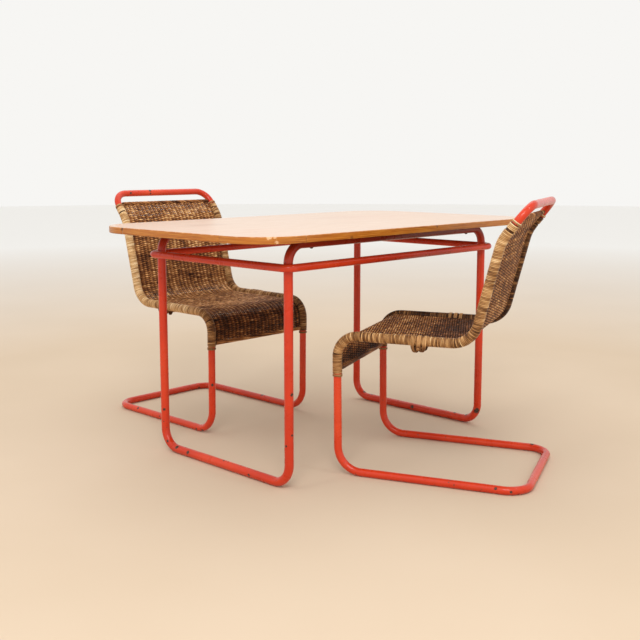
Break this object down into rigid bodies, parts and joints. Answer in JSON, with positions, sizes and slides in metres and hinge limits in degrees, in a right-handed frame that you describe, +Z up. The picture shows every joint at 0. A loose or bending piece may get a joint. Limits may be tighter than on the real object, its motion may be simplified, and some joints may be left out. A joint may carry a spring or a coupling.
{
  "type": "kids table and chairs",
  "caption": "Child's table with a round-cornered wooden top on a red bent-tube frame, with cantilever tube chairs whose seat and back are one woven cane panel.",
  "frame": {"origin": "on the floor, under the middle of the set's outline", "axes": "+X along the table's long side, +Y from the front chair to the rear chair, +Z up"},
  "size_m": [1, 1.258, 0.621],
  "materials": {
    "red_paint": "gloss enamel, worn and chipped",
    "plain_steel": "plain drawn tube",
    "screw_steel": "old paint over steel",
    "board": "satin varnish",
    "lipping": "satin varnish",
    "cane": "dull, aged",
    "woven_cane": "dull, stained brown",
    "light_cane": "slight sheen"
  },
  "bodies": {
    "table": {"top_core": "board", "top_edge_front": "lipping", "top_edge_rear": "lipping", "top_edge_left": "lipping", "top_edge_right": "lipping", "top_corner_edges": "lipping", "table_frame_front": "red_paint", "table_frame_rear": "red_paint", "table_frame_plugs": "plain_steel", "stretcher_ring": "red_paint", "ring_brazing": "red_paint", "rail_screws": "screw_steel"},
    "front_chair": {"front_chair_frame_left": "red_paint", "front_chair_frame_right": "red_paint", "front_chair_frame_plugs": "plain_steel", "front_chair_apron_rod": "plain_steel", "front_chair_back_rod": "plain_steel", "front_chair_seat_rod": "cane", "front_chair_rod_lashings": "cane", "front_chair_stakes": "cane", "front_chair_woven_panel": "woven_cane", "front_chair_side_wrap_left": "light_cane", "front_chair_side_wrap_right": "light_cane", "front_chair_apron_border": "woven_cane", "front_chair_back_border": "woven_cane", "front_chair_wrap_collars": "light_cane"},
    "rear_chair": {"rear_chair_frame_left": "red_paint", "rear_chair_frame_right": "red_paint", "rear_chair_frame_plugs": "plain_steel", "rear_chair_apron_rod": "plain_steel", "rear_chair_back_rod": "plain_steel", "rear_chair_seat_rod": "cane", "rear_chair_rod_lashings": "cane", "rear_chair_stakes": "cane", "rear_chair_woven_panel": "woven_cane", "rear_chair_side_wrap_left": "light_cane", "rear_chair_side_wrap_right": "light_cane", "rear_chair_apron_border": "woven_cane", "rear_chair_back_border": "woven_cane", "rear_chair_wrap_collars": "light_cane"}
  },
  "joints": [
    {"name": "front_chair_slide", "type": "slide", "parent": "table", "child": "front_chair", "axis": [-0.3722, 0.9282, 0], "range_m": [-0.3, 0.1]},
    {"name": "rear_chair_slide", "type": "slide", "parent": "table", "child": "rear_chair", "axis": [0, -1, 0], "range_m": [-0.3, 0.15]}
  ]
}
